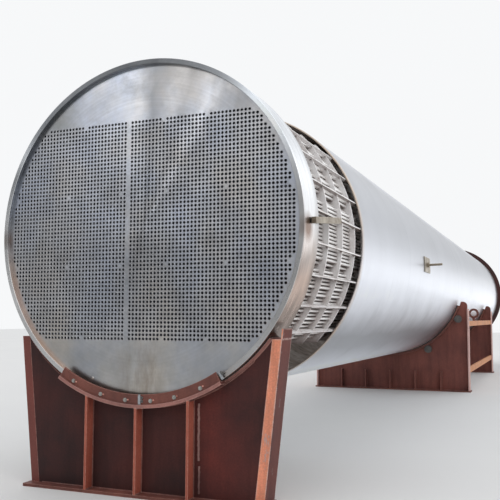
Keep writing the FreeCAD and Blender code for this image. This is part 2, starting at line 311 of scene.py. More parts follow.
def machinedFace():
    material, add, plug = startMaterial("machined_face", Metallic=1.0, Anisotropic=0.55, Roughness=0.34)
    moved, (x, _, z), radius, angle = fromAxis(add)
    wave = add("CombineXYZ", {"X": radius}).outputs[0]
    rings = noise(add, wave, 34.0, 5.0, 0.7)
    fine = noise(add, wave, 260.0, 2.0, 0.6)
    clouds = noise(add, moved, 2.4, 5.0, 0.6)
    smears = noise(add, moved, 7.0, 6.0, 0.65)
    drips = noise(add, moved, (8, 1, 2.2), 7.0, 0.72)
    wander = times(add, calc(add, "SUBTRACT", clouds, 0.5), 16.0)
    # painted highlight and reflection in fan shapes round the centre, full on the blank top and part-way over
    # the drilled field
    paintedSheenFans = toneRamp(add, calc(add, "ADD", inDegrees(add, angle), wander), faceLook["paintedSheenFans"])
    blank = rescale(add, z, 0.72, 0.90, 0.60, 1.0)
    base = blendColour(add, blank, (0.58, 0.58, 0.58, 1), paintedSheenFans)
    ringTone = blendColour(add, blank, white,
                           toneRamp(add, rings, [(0.30, 0.86), (0.50, 1.0), (0.70, 1.16)]))
    base = tinted(add, base, ringTone)
    base = toned(add, base, clouds, [(0.34, 1.08), (0.52, 1.0), (0.70, 0.80)])
    base = toned(add, base, smears, [(0.36, 1.06), (0.50, 1.0), (0.68, 0.88)])
    height = rescale(add, z, -1.05, -0.35)
    base = tinted(add, base, blendColour(add, height, faceLook["warmTint"], faceLook["coolTint"]))
    # painted shade: the face is darker towards its bottom
    low = rescale(add, z, -0.80, -1.05)
    base = tinted(add, base, blendColour(add, low, white, (0.84, 0.84, 0.84, 1)))
    grime = noise(add, moved, (2.2, 1, 2.8), 8.0, 0.7)
    base = laid(add, base, (0.40, 0.41, 0.43, 1), grime, 0.50, 0.66, 0.55)
    warm = noise(add, moved, (1.7, 1, 1.3), 4.0, 0.6)
    base = toned(add, base, warm, [(0.36, (0.94, 0.98, 1.06, 1)), (0.50, 1.0), (0.64, (1.07, 1.01, 0.93, 1))])
    corner = times(add, rescale(add, x, -0.58, -0.82),
                   rescale(add, smears, 0.40, 0.60, 0.3, 1.0))
    corner = times(add, corner, rescale(add, z, 0.80, 0.92, 0.0, 0.55))
    base = blendColour(add, corner, base, (0.30, 0.32, 0.31, 1))
    middle = toneRamp(add, x, [(-0.30, 0.0), (-0.08, 0.85), (0.10, 1.0), (0.22, 0.25),
                                                (0.75, 0.0)])
    stain = times(add, low, rescale(add, drips, 0.42, 0.64, 0.0, 0.80))
    base = blendColour(add, times(add, stain, middle), base, (0.30, 0.25, 0.21, 1))
    finishOff(add, plug, base, rings, (0.30, 0.42), calc(add, "ADD", rings, times(add, fine, 0.5)), 0.25,
              0.0006)
    alongTurning(add, plug)
    return material


rimLook = {
    # painted light and shade by degrees from straight up, highlights, reflections and shadow given as tones:
    # the proud lip, the outer surface and the step inside the lip
    "lip": [(-180, 0.45), (-145, 0.64), (-132, 0.66), (-118, 0.86), (-104, 1.0), (-90, 1.0), (-80, 0.86),
            (-72, 0.62), (-61, 0.92), (-52, 0.45), (-46, 0.30), (-24, 0.22), (-10, 0.14), (4, 0.12),
            (20, 0.20), (32, 0.36), (46, 1.0), (58, 1.08), (72, 0.76), (86, 0.56), (108, 0.74),
            (122, 0.56), (134, 0.62), (150, 0.48), (180, 0.45)],
    "outside": [(0, 0.40), (28, 0.44), (38, 0.76), (50, 0.66), (62, 0.62), (71, 0.80), (80, 0.86),
                (88, 0.92), (95, 0.66), (103, 0.46), (109, 0.70), (113, 0.72), (119, 0.42), (135, 0.32),
                (180, 0.34)],
    "step": [(-180, 0.85), (-120, 0.85), (-95, 0.75), (-80, 0.45), (-66, 0.18), (-30, 0.13), (25, 0.15),
             (60, 0.35), (120, 0.85), (180, 0.85)],
    "copper": (0.95, 0.72, 0.60, 1),
    "coolTint": (0.93, 0.98, 1.04, 1),
    "tieStain": (outerRadius, frontFace + 0.05, -0.045),   # heat stain under the tie bar
}


def machinedRim():
    material, add, plug = startMaterial("machined_rim", Metallic=1.0, Roughness=0.26)
    moved, (x, y, z), radius, angle = fromAxis(add)
    turn = inDegrees(add, angle)
    lines = noise(add, moved, (0.6, 90, 0.6), 4.0, 0.6)
    smears = noise(add, moved, (1.6, 7, 1.6), 5.0, 0.6)
    warm = noise(add, moved, 1.1, 3.0, 0.5)
    wander = times(add, calc(add, "SUBTRACT", smears, 0.5), 26.0)
    # painted highlights, reflections and shadow round the rim, by angle
    outside = toneRamp(add, calc(add, "ADD", calc(add, "ABSOLUTE", turn), wander), rimLook["outside"])
    lip = toneRamp(add, calc(add, "ADD", turn, times(add, wander, 0.3)), rimLook["lip"])
    onStep = rescale(add, radius, outerRadius - 0.010, outerRadius - 0.020)
    outside = blendColour(add, onStep, outside, toneRamp(add, turn, rimLook["step"]))
    lower = rescale(add, calc(add, "ABSOLUTE", turn), 90.0, 108.0)
    outside = tinted(add, outside, blendColour(add, lower, white, rimLook["copper"]))
    base = blendColour(add, facing(add, "Y"), outside, lip)
    base = toned(add, base, lines, [(0.32, 0.84), (0.5, 0.98), (0.68, 1.08)])
    # painted shade: the rim is darker towards its back edge
    base = toned(add, base, y, [(frontFace, 1.0), (sheetHigh.y - 0.10, 1.0),
                                                 (sheetHigh.y, 0.66)])
    upper = rescale(add, z, -0.1, 0.9)
    base = tinted(add, base, blendColour(add, upper, white, rimLook["coolTint"]))
    grime = blendColour(add, upper, (0.50, 0.42, 0.36, 1), (0.40, 0.41, 0.43, 1))
    base = laid(add, base, grime, smears, 0.58, 0.74, 0.45)
    mirrored = add("CombineXYZ", {"X": calc(add, "ABSOLUTE", x),
                                  "Y": y, "Z": z}).outputs[0]
    fromTie = add("VectorMath", {0: mirrored, 1: rimLook["tieStain"]}, operation="DISTANCE").outputs["Value"]
    heat = times(add, rescale(add, fromTie, 0.045, 0.13, 1.0, 0.0), rescale(add, warm, 0.3, 0.6, 0.8, 1.0))
    base = blendColour(add, heat, base, (0.20, 0.105, 0.06, 1))
    finishOff(add, plug, base, smears, (0.20, 0.38), lines, 0.2, 0.0006)
    return material


def boreMetal():
    material, add, plug = startMaterial("bore_metal", Metallic=0.85, Roughness=0.5)
    moved = axisPlace(add)
    spots = noise(add, moved, 30.0, 3.0)
    base = laid(add, (0.15, 0.158, 0.18, 1), (0.30, 0.308, 0.33, 1), spots)
    finishOff(add, plug, base, spots, (0.4, 0.65), spots, 0.2, 0.0004)
    return material


def tubeEndMetal():
    material, add, plug = startMaterial("tube_end_metal", Metallic=1.0, Roughness=0.32)
    moved = axisPlace(add)
    spots = noise(add, moved, 55.0, 3.0)
    tone = noise(add, moved, 3.0, 4.0)
    base = laid(add, (0.50, 0.51, 0.53, 1), (0.72, 0.73, 0.75, 1), spots)
    base = laid(add, base, (0.38, 0.38, 0.40, 1), tone, 0.45, 0.65, 0.4)
    finishOff(add, plug, base, spots, (0.26, 0.42), spots, 0.3, 0.0006)
    return material


shellLook = {
    # painted sheen: highlight and reflection bands along the barrel, (degrees from straight up on either
    # side, tone)
    "bands": [(0, 0.62), (28, 0.60), (38, 0.60), (46, 0.48), (54, 0.40), (66, 0.44), (76, 0.48),
              (86, 0.58), (94, 0.73), (102, 0.93), (110, 0.97), (117, 0.86), (123, 0.67), (131, 0.46),
              (138, 0.54), (146, 0.82), (153, 1.0), (180, 1.0)],
    "coolTint": (0.955, 0.985, 1.055, 1),
    "heatTint": (0.62, 0.50, 0.40, 1),
}


def brushedShell():
    material, add, plug = startMaterial("brushed_shell", Metallic=1.0, Anisotropic=0.35, Roughness=0.38)
    moved, (_, y, _), _, angle = fromAxis(add)
    turn = add("CombineXYZ", {"X": times(add, y, 60.0),
                              "Y": calc(add, "SINE", angle), "Z": calc(add, "COSINE", angle)}).outputs[0]
    hair = noise(add, turn, 1.0, 6.0, 0.7)
    broad = noise(add, moved, (0.35, 1.6, 0.35), 4.0, 0.55)
    clouds = noise(add, moved, 0.9, 5.0, 0.6)
    scuffs = noise(add, moved, (2.2, 5.5, 0.5), 7.0, 0.7)
    wander = times(add, calc(add, "SUBTRACT", clouds, 0.5), 14.0)
    around = calc(add, "ADD", calc(add, "ABSOLUTE", inDegrees(add, angle)), wander)
    # painted highlights and reflections round the barrel
    base = tinted(add, toneRamp(add, around, shellLook["bands"]), shellLook["coolTint"])
    base = toned(add, base, hair, [(0.30, 0.96), (0.5, 1.0), (0.70, 1.03)])
    base = toned(add, base, broad, [(0.40, 0.99), (0.64, 1.02)])
    base = toned(add, base, clouds, [(0.44, 1.0), (0.70, 0.90)])
    base = laid(add, base, (0.55, 0.56, 0.58, 1), scuffs, 0.60, 0.74, 0.35)
    mouth = rescale(add, y, shellLow.y + 0.08, shellLow.y + 0.005)
    tint = times(add, mouth, rescale(add, clouds, 0.35, 0.6, 0.3, 0.9))
    base = blendColour(add, tint, base, shellLook["heatTint"])
    finishOff(add, plug, base, hair, (0.34, 0.46), hair, 0.10, 0.0008)
    alongTurning(add, plug)
    return material


def shellInside():
    material, add, plug = startMaterial("shell_inside", Metallic=0.2, Roughness=0.6)
    moved = axisPlace(add)
    scale = noise(add, moved, 9.0, 6.0, 0.65)
    broad = noise(add, moved, (1, 3, 1), 4.0)
    base = laid(add, (0.20, 0.15, 0.12, 1), (0.36, 0.31, 0.28, 1), broad)
    base = toned(add, base, scale, [(0.35, 1.1), (0.5, 1.0), (0.66, 0.6)])
    finishOff(add, plug, base, scale, (0.5, 0.75), scale, 0.2, 0.001)
    return material


def drawnTube():
    material, add, plug = startMaterial("drawn_tube", Metallic=0.75, Roughness=0.28)
    moved = axisPlace(add)
    lines = noise(add, moved, (160, 3, 160), 3.0)
    tone = noise(add, moved, (30, 0.5, 30), 2.0)
    base = laid(add, (0.90, 0.89, 0.88, 1), (1.0, 0.99, 0.98, 1), lines)
    base = laid(add, base, (0.70, 0.66, 0.62, 1), tone, 0.50, 0.62, 0.5)
    # painted shadow: tubes darker under the rails and under the tubes above them
    shade = rescale(add, overhead(add, 0.10), 0.05, 0.28)
    base = tinted(add, base, blendColour(add, shade, (0.56, 0.49, 0.47, 1), white))
    finishOff(add, plug, base, lines, (0.24, 0.38), lines, 0.15, 0.0005)
    return material


def shadedTube():
    # tubes deep in the bundle, seen only between the outer ones, their colour painted dark as shade
    material, add, plug = startMaterial("shaded_tube", Metallic=0.3, Roughness=0.5)
    moved = axisPlace(add)
    rows = noise(add, moved, (1, 1, 1 / pitch), 2.0)
    tone = noise(add, moved, (9, 1.5, 9), 5.0)
    base = laid(add, (0.14, 0.13, 0.122, 1), (0.31, 0.29, 0.275, 1), rows)
    base = laid(add, base, (0.24, 0.17, 0.13, 1), tone, 0.45, 0.65, 0.5)
    finishOff(add, plug, base, tone, (0.42, 0.60), rows, 0.2, 0.001)
    return material


def cutPlate(name="cut_plate", pale=(0.88, 0.85, 0.845, 1), dark=(0.44, 0.35, 0.315, 1)):
    material, add, plug = startMaterial(name, Metallic=0.15, Roughness=0.45)
    moved = axisPlace(add)
    grain = noise(add, moved, (5, 60, 5), 5.0, 0.6)
    patches = noise(add, moved, 3.2, 5.0, 0.62)
    rust = noise(add, moved, 13.0, 6.0, 0.7)
    base = laid(add, pale, (0.92, 0.90, 0.895, 1), grain)
    base = laid(add, base, dark, patches, 0.50, 0.68, 0.50)
    base = laid(add, base, (0.34, 0.19, 0.12, 1), rust, 0.60, 0.74, 0.6)
    base = wornEdges(add, base, (0.95, 0.93, 0.92, 1), 0.003, 0.6)
    # painted shadow under the rails, and painted shade that darkens the plates towards the bottom of the
    # bundle
    shade = rescale(add, overhead(add, 0.06), 0.09, 0.40)
    height = add("SeparateXYZ", {0: moved}).outputs["Z"]
    shade = times(add, shade, rescale(add, height, -0.925, -0.84, 0.12, 1.0))
    base = tinted(add, base, blendColour(add, shade, (0.20, 0.145, 0.125, 1), white))
    finishOff(add, plug, base, patches, (0.34, 0.56), calc(add, "ADD", grain, rust), 0.2, 0.0008)
    return material


def tintedSteel():
    material, add, plug = startMaterial("tinted_steel", Metallic=0.9, Roughness=0.38)
    moved = axisPlace(add)
    bands = noise(add, moved, (3, 9, 9), 4.0, 0.6)
    spots = noise(add, moved, 26.0, 6.0, 0.7)
    base = laid(add, (0.25, 0.205, 0.155, 1), (0.42, 0.37, 0.295, 1), bands)
    base = laid(add, base, (0.17, 0.12, 0.08, 1), spots, 0.55, 0.72, 0.7)
    base = wornEdges(add, base, (0.72, 0.68, 0.55, 1), 0.004, 0.7)
    finishOff(add, plug, base, spots, (0.32, 0.55), spots, 0.3, 0.001)
    return material


def redPrimer(name="red_primer", body=(0.135, 0.042, 0.032, 1), faded=(0.235, 0.080, 0.058, 1),
              worn=(0.50, 0.26, 0.21, 1), front=None, edge=0.007, bare=None, right=None, gloss=0.5):
    # front is a paler colour of faces that look along the shell, painted light; right is a painted-light tint
    # towards the right side
    material, add, plug = startMaterial(name, Metallic=0.0, Roughness=0.7, Specular_IOR_Level=gloss)
    where = objectPlace(add)
    patches = noise(add, where, 1.7, 6.0, 0.62)
    runs = noise(add, where, (9, 9, 1.1), 6.0, 0.65)
    speckle = noise(add, where, 70.0, 4.0, 0.6)
    chips = noise(add, where, 16.0, 8.0, 0.72)
    edges = edgeMask(add, edge)
    base = laid(add, body, faded, patches, 0.36, 0.66)
    if right:
        across = add("SeparateXYZ", {0: where}).outputs["X"]
        base = toned(add, base, across, [(-0.9, 1.0), (0.42, 0.95), (0.60, right), (1.0, 1.1)])
    # painted light: paler on faces that look along the shell
    if front:
        paintedFrontLight = toned(add, front, patches, [(0.35, 0.85), (0.62, 1.06)])
        base = blendColour(add, facing(add, "Y"), base, paintedFrontLight)
    base = toned(add, base, runs, [(0.45, 1.0), (0.70, 0.68)])
    base = toned(add, base, speckle, [(0.35, 0.92), (0.5, 1.0), (0.72, 1.18)])
    ragged = times(add, edges, rescale(add, chips, 0.38, 0.56, 0.1, 1.0))
    base = blendColour(add, times(add, ragged, 0.8), base, worn)
    base = laid(add, base, (0.30, 0.20, 0.17, 1), chips, 0.69, 0.76, 0.7)
    if bare:
        flakes = noise(add, where, (11, 11, 5.5), 8.0, 0.7)
        base = laid(add, base, bare, flakes, 0.63, 0.69, 0.8)
    finishOff(add, plug, base, patches, (0.58, 0.82), calc(add, "ADD", speckle, times(add, chips, 1.5)),
              0.25, 0.001)
    return material


def rubberSheet():
    material, add, plug = startMaterial("rubber_sheet", Metallic=0.0, Roughness=0.8)
    where = objectPlace(add)
    grain = noise(add, where, 90.0, 3.0)
    dust = noise(add, where, 5.0, 6.0, 0.65)
    base = laid(add, (0.018, 0.018, 0.018, 1), (0.075, 0.070, 0.066, 1), dust, 0.45, 0.72, 0.6)
    finishOff(add, plug, base, grain, (0.7, 0.9), grain, 0.3, 0.0008)
    return material


def bossPaint():
    material, add, plug = startMaterial("boss_paint", Metallic=0.1, Roughness=0.6)
    where = objectPlace(add)
    patches = noise(add, where, 14.0, 5.0, 0.6)
    grit = noise(add, where, 120.0, 3.0)
    base = laid(add, (0.080, 0.074, 0.070, 1), (0.150, 0.140, 0.130, 1), patches, 0.35, 0.68)
    base = wornEdges(add, base, (0.17, 0.16, 0.15, 1), 0.004, 0.5)
    finishOff(add, plug, base, grit, (0.5, 0.7), grit, 0.3, 0.0008)
    return material


def weldMetal(name="weld_metal", pale=(0.52, 0.50, 0.48, 1), dark=(0.24, 0.20, 0.17, 1), metallic=0.9):
    material, add, plug = startMaterial(name, Metallic=metallic, Roughness=0.4)
    where = objectPlace(add)
    grain = noise(add, where, 140.0, 3.0)
    heat = noise(add, where, 9.0, 5.0, 0.6)
    base = laid(add, pale, dark, heat, 0.38, 0.66)
    finishOff(add, plug, base, grain, (0.32, 0.52), grain, 0.35, 0.0008)
    return material


def boltSteel(name="bolt_steel", dark=(0.25, 0.25, 0.23, 1), pale=(0.44, 0.44, 0.41, 1), metallic=0.5):
    material, add, plug = startMaterial(name, Metallic=metallic, Roughness=0.42)
    where = objectPlace(add)
    grit = noise(add, where, 160.0, 4.0)
    rust = noise(add, where, 34.0, 5.0, 0.65)
    base = laid(add, dark, pale, grit)
    base = laid(add, base, (0.26, 0.12, 0.07, 1), rust, 0.52, 0.70, 0.8)
    base = wornEdges(add, base, (0.66, 0.66, 0.64, 1), 0.002, 0.6)
    finishOff(add, plug, base, rust, (0.34, 0.6), grit, 0.3, 0.0005)
    return material


finish = {
    "face": machinedFace(),
    "rim": machinedRim(),
    "bore": boreMetal(),
    "tubeEnd": tubeEndMetal(),
    "shell": brushedShell(),
    "shellInside": shellInside(),
    "tube": drawnTube(),
    "plate": cutPlate(),
    "shadedTube": shadedTube(),
    "tinted": tintedSteel(),
    "primer": redPrimer(),
    # painted shade: the web under the shelf is coloured very dark, and painted light makes it lighter towards
    # the right side
    "shadedWebPrimer": redPrimer("shaded_web_primer", (0.032, 0.0100, 0.0098, 1), (0.080, 0.0225, 0.0195, 1),
                           (0.22, 0.10, 0.085, 1), right=(1.85, 1.30, 1.18, 1), gloss=0.34),
    # painted light: the ribs are coloured bright orange-red where their sides catch light from the right
    "litRibPrimer": redPrimer("lit_rib_primer", (0.38, 0.085, 0.050, 1), (0.46, 0.125, 0.080, 1),
                           (0.66, 0.38, 0.30, 1)),
    "postPrimer": redPrimer("post_primer", (0.17, 0.040, 0.032, 1), (0.23, 0.060, 0.046, 1),
                            (0.62, 0.36, 0.30, 1), front=(0.20, 0.052, 0.040, 1)),
    # painted light: faces that look along the shell are coloured bright orange
    "litPostPrimer": redPrimer("lit_post_primer", (0.095, 0.021, 0.017, 1), (0.15, 0.040, 0.030, 1),
                               (0.80, 0.60, 0.54, 1), front=(0.88, 0.32, 0.19, 1), edge=0.015,
                               bare=(0.40, 0.37, 0.37, 1)),
    # painted light: the shelf's front face is coloured paler
    "shelfPrimer": redPrimer("shelf_primer", (0.14, 0.044, 0.036, 1), (0.22, 0.080, 0.064, 1),
                             (0.60, 0.38, 0.33, 1), front=(0.37, 0.165, 0.14, 1)),
    "platePrimer": redPrimer("plate_primer", (0.175, 0.052, 0.040, 1), (0.26, 0.085, 0.064, 1),
                             (0.50, 0.27, 0.22, 1)),
    # painted light: the cradle flanges are coloured pale pink where light from the right falls on them
    "litCradleFlangePrimer": redPrimer("lit_cradle_flange_primer", (0.62, 0.37, 0.33, 1), (0.78, 0.50, 0.45, 1),
                            (0.90, 0.70, 0.65, 1)),
    # the beams' orange is partly their paint and partly painted light, paler than the other primer
    "beamPrimer": redPrimer("beam_primer", (0.62, 0.25, 0.105, 1), (0.76, 0.36, 0.18, 1),
                            (0.80, 0.52, 0.38, 1)),
    "flangePrimer": redPrimer("flange_primer", (0.055, 0.020, 0.018, 1), (0.105, 0.033, 0.028, 1),
                              (0.30, 0.13, 0.11, 1)),
    "rubber": rubberSheet(),
    "boss": bossPaint(),
    "weld": weldMetal(),
    "paintedWeld": weldMetal("painted_weld", (0.72, 0.34, 0.27, 1), (0.42, 0.16, 0.12, 1), 0.0),
    "primerWeld": redPrimer("primer_weld", (0.12, 0.036, 0.030, 1), (0.24, 0.085, 0.066, 1),
                            (0.50, 0.30, 0.25, 1)),
    "oldWeld": redPrimer("old_weld", (0.10, 0.040, 0.036, 1), (0.34, 0.19, 0.165, 1), (0.42, 0.28, 0.25, 1)),
    "bolt": boltSteel(),
    "darkBolt": boltSteel("dark_bolt", (0.055, 0.055, 0.055, 1), (0.12, 0.12, 0.115, 1)),
    "greyPaint": boltSteel("grey_paint", (0.30, 0.325, 0.35, 1), (0.44, 0.465, 0.49, 1), 0.25),
}

nodeFinish = {
    # every other node gets the plain red primer
    "plate": ("support_plate", "slide_rails"),
    "tinted": ("tie_bar", "shell_bracket"),
    "flangePrimer": ("rear_flange",),
    "litPostPrimer": ("front_post_right", "packing_tab"),
    "postPrimer": ("front_post_left",),
    "shelfPrimer": ("front_bearing_plate",),
    "litRibPrimer": ("front_saddle_ribs",),
    "platePrimer": ("cradle_front_plate", "cradle_rear_plate", "cradle_front_ribs", "cradle_rear_ribs"),
    "beamPrimer": ("cradle_upper_beam", "cradle_lower_beam"),
    "shadedWebPrimer": ("front_saddle_web", "front_saddle_rear_web"),
    "litCradleFlangePrimer": ("cradle_flanges",),
    "rubber": ("front_lining", "cradle_front_lining", "cradle_rear_lining"),
    "boss": ("cradle_front_bosses", "cradle_rear_bosses"),
}
for node, piece in nodes.items():
    looks = [look for look, starts in nodeFinish.items() if node.startswith(starts)]
    material = finish[looks[0] if looks else "primer"]
    if piece.material_slots:
        for place in piece.material_slots:
            place.link = "OBJECT"
            place.material = material
    else:
        piece.data.materials.append(material)
print("materials ready,", len(finish), "finishes")


viewpoint = {
    "aheadOfFace": 4.8154,    # metres in front of the drilled face
    "rightOfAxis": 2.9946,
    "belowAxis": 0.7047,
    "turn": 22.188,           # degrees to the left of straight along the shell
    "tilt": 4.742,            # upwards
    "roll": 0.088,
    "lens": 51.37,
    "sensor": 36,
    "farthest": 200,
    "shiftX": -0.0282,
    "shiftY": 0.0186,
}
camera = bpy.data.objects.new("camera", bpy.data.cameras.new("camera"))
scene.collection.objects.link(camera)
spin = mathutils.Matrix.Rotation(math.radians(viewpoint["turn"]), 4, "Z")
lift = mathutils.Matrix.Rotation(math.radians(90 + viewpoint["tilt"]), 4, "X")
roll = mathutils.Matrix.Rotation(math.radians(viewpoint["roll"]), 4, "Z")
stand = (viewpoint["rightOfAxis"], frontFace - viewpoint["aheadOfFace"], axisZ - viewpoint["belowAxis"])
camera.matrix_world = mathutils.Matrix.Translation(stand) @ spin @ lift @ roll
camera.data.sensor_width = viewpoint["sensor"]
camera.data.lens = viewpoint["lens"]
camera.data.shift_x = viewpoint["shiftX"]
camera.data.shift_y = viewpoint["shiftY"]
camera.data.clip_end = viewpoint["farthest"]
scene.camera = camera
print("camera placed")


def tubeCentres():
    # (column, row) in pitches from the axis
    centres = []
    reach = layout["fieldRadius"]
    for row in range(-layout["rows"], layout["rows"] + 1):
        skipped = layout["tieRows"].get(abs(row), ())
        for number in range(layout["columns"]):
            column = number - (layout["columns"] - 1) / 2
            if column == layout["laneColumn"] or column in skipped:
                continue
            if column * column + row * row > reach * reach:
                continue
            if abs(row) == layout["rows"] and abs(column) > layout["endRowReach"]:
                continue
            centres.append((column, row))
    return centres


tubes = tubeCentres()


def ringPoints(sides, radius):
    # starts at 45 degrees, so a quarter of the ring lies between two corners of its cell
    step = 2 * math.pi / sides
    return [(radius * math.cos(math.pi / 4 + step * k), radius * math.sin(math.pi / 4 + step * k))
            for k in range(sides)]


def drilledPlate(name, faceY, outwards, sides):
    # flat plate made of one cell per pitch: cells with a tube get a round hole, the rest stay whole
    holes = set(tubes)
    verts = []
    faces = []
    known = {}

    def vert(x, z):
        key = (round(x, 6), round(z, 6))
        if key not in known:
            known[key] = len(verts)
            verts.append((x, faceY, axisZ + z))
        return known[key]

    def put(*corners):
        faces.append(corners if outwards < 0 else corners[::-1])

    def edgeCrossing(a, b):
        # where a cell's side meets the round edge of the plate
        if a[0] == b[0]:
            return vert(a[0], math.copysign(math.sqrt(faceRadius ** 2 - a[0] ** 2), a[1] + b[1]))
        return vert(math.copysign(math.sqrt(faceRadius ** 2 - a[1] ** 2), a[0] + b[0]), a[1])

    ringShape = ringPoints(sides, layout["tubeRadius"])
    quarter = sides // 4
    middle = (quarter + 1) // 2
    reach = int(faceRadius / pitch) + 1
    for row in range(-reach, reach + 1):
        for cell in range(-reach - 1, reach + 1):
            column = cell + 0.5
            left, right = cell * pitch, (cell + 1) * pitch
            bottom, top = (row - 0.5) * pitch, (row + 0.5) * pitch
            square = [(right, top), (left, top), (left, bottom), (right, bottom)]
            inside = [math.hypot(*corner) <= faceRadius for corner in square]
            if not any(inside):
                continue
            if not all(inside):
                outline = []
                for k in range(4):
                    n = (k + 1) % 4
                    if inside[k]:
                        outline.append(vert(*square[k]))
                    if inside[k] != inside[n]:
                        outline.append(edgeCrossing(square[k], square[n]))
                put(*outline)
                continue
            corners = [vert(*corner) for corner in square]
            if (column, row) not in holes:
                put(*corners)
                continue
            ring = [vert(column * pitch + x, row * pitch + z) for x, z in ringShape]
            for k in range(4):
                first, second = corners[k], corners[(k + 1) % 4]
                arc = [ring[(k * quarter + n) % sides] for n in range(quarter + 1)]
                put(first, second, arc[middle])
                for n in range(quarter):
                    put(first if n < middle else second, arc[n + 1], arc[n])
    return newPiece(name, verts, faces, "face", "machined_stainless")


def tubeRings(name, sides, loops, look, outwards, cap=False, places=tubes):
    # the same small turned shape at every tube: loops is a list of (y, radius)
    verts = []
    faces = []
    for column, row in places:
        base = len(verts)
        for y, radius in loops:
            verts += [(column * pitch + x, y, axisZ + row * pitch + z) for x, z in ringPoints(sides, radius)]
        faces += bands(len(loops), sides, base)
        if cap:
            faces.append(list(range(len(verts) - sides, len(verts))))
    if outwards > 0:
        faces = [face[::-1] for face in faces]
    return newPiece(name, verts, faces, look, "stainless_tube", smooth=40)


sheet = {
    "endStandOut": 0.003,     # tube ends proud of the face
    "endSeat": 0.0004,        # and where they start, behind it
    "boreDepth": 0.16,
    "chamfer": 0.003,
    "underFace": 0.004,       # the rim runs on a little behind the drilled face
    "hub": 0.85,              # ring on the back face, a share of its radius
    "frontSides": 12,
    "rearSides": 8,
}


def tubesheet(end, faceY, backY, outwards, sides, cadNode):
    # outwards is -1 where the drilled face looks along -Y
    lipY = faceY + outwards * layout["lipDepth"]
    chamfer, under = sheet["chamfer"], sheet["underFace"]
    profile = [
        (faceY - outwards * under, faceRadius - under),
        (faceY - outwards * under / 2, faceRadius),
        (lipY - outwards * chamfer, faceRadius),
        (lipY, faceRadius + chamfer),
        (lipY, outerRadius - chamfer),
        (lipY - outwards * chamfer, outerRadius),
        (backY + outwards * chamfer, outerRadius),
        (backY, outerRadius - chamfer),
        (backY, outerRadius * sheet["hub"]),
        (backY, 0),
    ]
    verts, faces = lathe(profile)
    if outwards < 0:
        faces = [face[::-1] for face in faces]
    rim = newPiece(end + "_tubesheet_rim", verts, faces, "rim", "machined_stainless", smooth=30)
    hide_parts(cadNode)
    drilledPlate(end + "_tubesheet_face", faceY, outwards, sides)
    proud = faceY + outwards * sheet["endStandOut"]
    deep = faceY - outwards * sheet["boreDepth"]
    tubeRings(end + "_tube_ends", sides,
              [(faceY - outwards * sheet["endSeat"], layout["tubeRadius"]), (proud, layout["boreRadius"])],
              "tubeEnd", outwards)
    tubeRings(end + "_tube_bores", sides, [(proud, layout["boreRadius"]), (deep, layout["boreRadius"])],
              "bore", outwards, cap=True)


tubesheet("front", frontFace, sheetHigh.y, -1, sheet["frontSides"], "front_tubesheet")
tubesheet("rear", rearFace, rearLow.y, 1, sheet["rearSides"], "rear_tubesheet")
print("tubesheets drilled,", len(tubes), "holes each")


bundle = {
    "sides": 12,
    "layers": 3,              # tubes shown, counted in from the outside of each row
    "inSheet": 0.004,         # tubes start this deep in the tubesheet
    "pastShellMouth": 0.75,
}


def shownTubes():
    rows = {}
    for column, row in tubes:
        rows.setdefault(row, []).append(column)
    shown = []
    for row, columns in rows.items():
        ends = sorted(columns)
        nearFlat = layout["rows"] - abs(row) < bundle["layers"]
        keep = ends if nearFlat else ends[:bundle["layers"]] + ends[-bundle["layers"]:]
        shown += [(column, row) for column in keep]
    return shown


def tubeBundle():
    start = sheetHigh.y - bundle["inSheet"]
    end = shellLow.y + bundle["pastShellMouth"]
    loops = [(start, layout["tubeRadius"]), (end, layout["tubeRadius"])]
    tubePiece = tubeRings("bundle_tubes", bundle["sides"], loops, "tube", 1, places=shownTubes())
    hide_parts("tube_bundle")

    # heart of the bundle in the dark tube colour, painted shade, one flat step per row
    parts = []
    for row in range(-layout["rows"] + bundle["layers"], layout["rows"] - bundle["layers"] + 1):
        reach = math.sqrt(layout["fieldRadius"] ** 2 - row * row) - bundle["layers"]
        low = (-reach * pitch, start, axisZ + (row - 0.5) * pitch)
        high = (reach * pitch, end, axisZ + (row + 0.5) * pitch)
        parts.append(blockMesh(low, high))
    newPiece("bundle_heart", *merged(parts), "shadedTube", "stainless_tube")


tubeBundle()
print("bundle filled,", len(shownTubes()), "tubes in sight")


barrel = {
    "wall": 0.014,
    "bevel": 0.006,
    "seamEvery": 2.35,        # circular seams between the rolled courses
    "seamWidth": 0.014,
    "seamHeight": 0.0012,
    "seamDip": 0.0002,        # keeps the seams just inside the outer radius
}


def shellBarrel():
    start, end = shellLow.y, shellHigh.y
    inner = outerRadius - barrel["wall"]
    low = outerRadius - barrel["seamHeight"]
    half = barrel["seamWidth"] / 2
    profile = [(start, outerRadius - barrel["bevel"]), (start + barrel["bevel"], low)]
    for k in range(1, int((end - start) / barrel["seamEvery"]) + 1):
        y = start + k * barrel["seamEvery"]
        crown = outerRadius - barrel["seamDip"]
        profile += [(y - half, low), (y - half / 2, crown), (y + half / 2, crown), (y + half, low)]
    profile += [(end, low), (end, inner), (start, inner), (start, outerRadius - barrel["bevel"])]
    verts, faces = lathe(profile)
    shellPiece = newPiece("shell_barrel", verts, [face[::-1] for face in faces], "shell",
                          "brushed_stainless", smooth=10)
    shellPiece.data.materials.append(finish["shellInside"])
    for polygon in shellPiece.data.polygons:
        if all(math.hypot(verts[v][0], verts[v][2] - axisZ) < inner + 0.001 for v in polygon.vertices):
            polygon.material_index = 1
    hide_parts("shell")


shellBarrel()
print("shell rolled")


